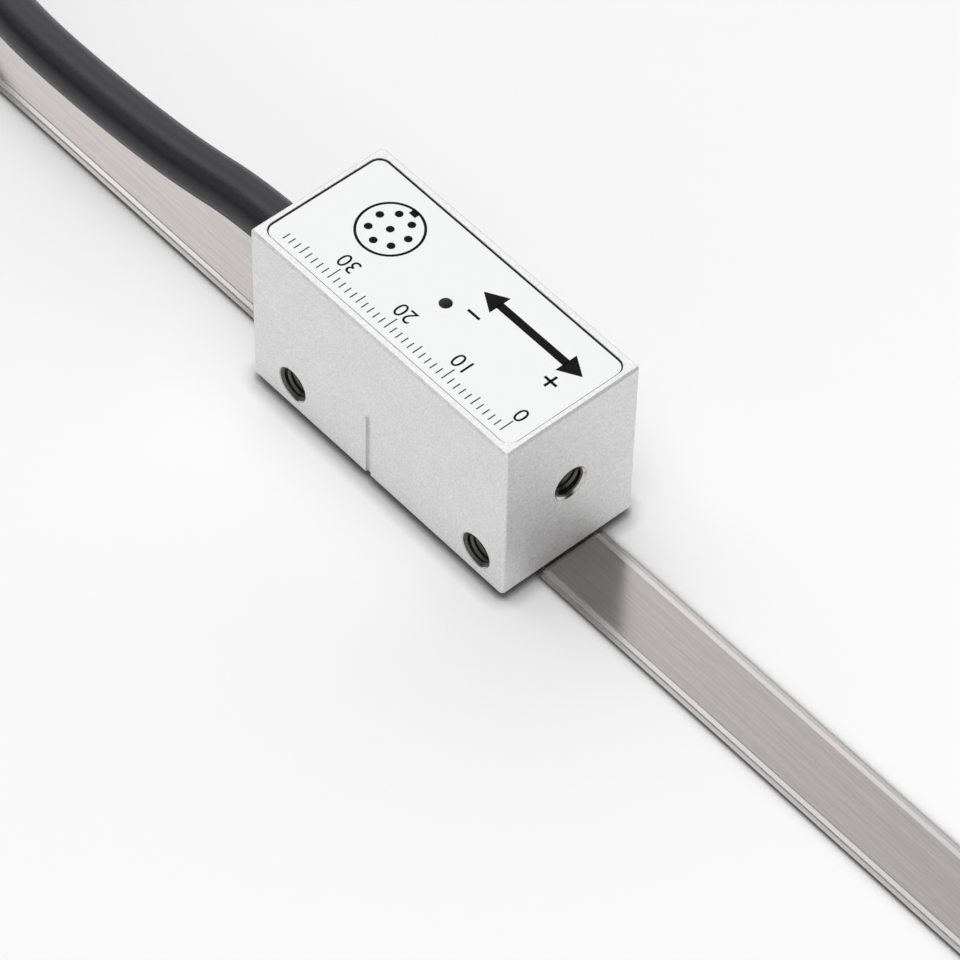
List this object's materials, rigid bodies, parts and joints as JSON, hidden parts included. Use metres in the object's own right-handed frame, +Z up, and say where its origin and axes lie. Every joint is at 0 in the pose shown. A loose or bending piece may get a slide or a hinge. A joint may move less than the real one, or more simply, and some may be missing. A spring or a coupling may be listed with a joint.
{
  "type": "linear encoder",
  "caption": "Aluminium read head that slides along a laminated steel scale tape, with a rear cable that ends in a round screw connector, for measuring straight-line position.",
  "frame": {"origin": "on the mounting surface, under the middle of the scale tape's length and of the read head", "axes": "+X along the tape towards the head's free end, +Y away from the side with the notch, +Z up"},
  "size_m": [0.4323, 0.0483, 0.0273],
  "materials": {
    "adhesive_film": "clear adhesive film",
    "bright_steel": "rolled bright stainless steel",
    "brushed_cover": "stainless steel brushed lengthwise",
    "blasted_aluminium": "fine bead-blasted, clear anodised",
    "nameplate": "satin white-silver plate with a black outline",
    "light_pipe": "smoked clear plastic",
    "cover_plastic": "moulded black",
    "seal_rubber": "black",
    "circuit_board": "green solder resist",
    "chip_plastic": "moulded black",
    "capacitor_ceramic": "sintered",
    "led_plastic": "clear lens",
    "plain_brass": "turned",
    "screw_steel": "zinc plated",
    "header_plastic": "moulded off-white",
    "wire_plastic": "extruded",
    "cable_jacket": "extruded black, satin",
    "strap_fabric": "woven black strap",
    "grip_plastic": "moulded black",
    "contact_gold": "gold plated",
    "nickel_plate": "nickel plated, satin"
  },
  "bodies": {
    "scale": {"tape_adhesive": "adhesive_film", "carrier_strip": "bright_steel", "measuring_tape": "bright_steel", "cover_strip": "brushed_cover"},
    "read_head": {"housing": "blasted_aluminium", "nameplate": "nameplate", "nameplate_adhesive": "adhesive_film", "light_pipe": "light_pipe", "bottom_cover": "cover_plastic", "cover_seal": "seal_rubber", "sensor_board": "circuit_board", "sensor_chip": "chip_plastic", "main_board": "circuit_board", "processor_chip": "chip_plastic", "line_driver_chip": "chip_plastic", "capacitors": "capacitor_ceramic", "status_led": "led_plastic", "board_spacers": "plain_brass", "board_screws": "screw_steel", "board_connector": "chip_plastic", "wire_header": "header_plastic", "cable_wires": "wire_plastic", "shield_ferrule": "plain_brass", "cable_bush": "seal_rubber", "cable_end": "cable_jacket", "cable_lead": "cable_jacket", "cable_hank": "cable_jacket", "cable_tail": "cable_jacket", "cable_ties": "strap_fabric", "connector_body": "grip_plastic", "connector_insert": "chip_plastic", "connector_pins": "contact_gold", "connector_seal": "seal_rubber"},
    "coupling": {"coupling_screw": "nickel_plate"}
  },
  "joints": [
    {"name": "head_slide", "type": "slide", "parent": "scale", "child": "read_head", "axis": [1, 0, 0], "range_m": [-0.08, 0.08]},
    {"name": "coupling_turn", "type": "hinge", "parent": "read_head", "child": "coupling", "pos_m": [-0.3113, 0.0178, 0.00725], "axis": [1, 0, 0], "continuous": true}
  ]
}
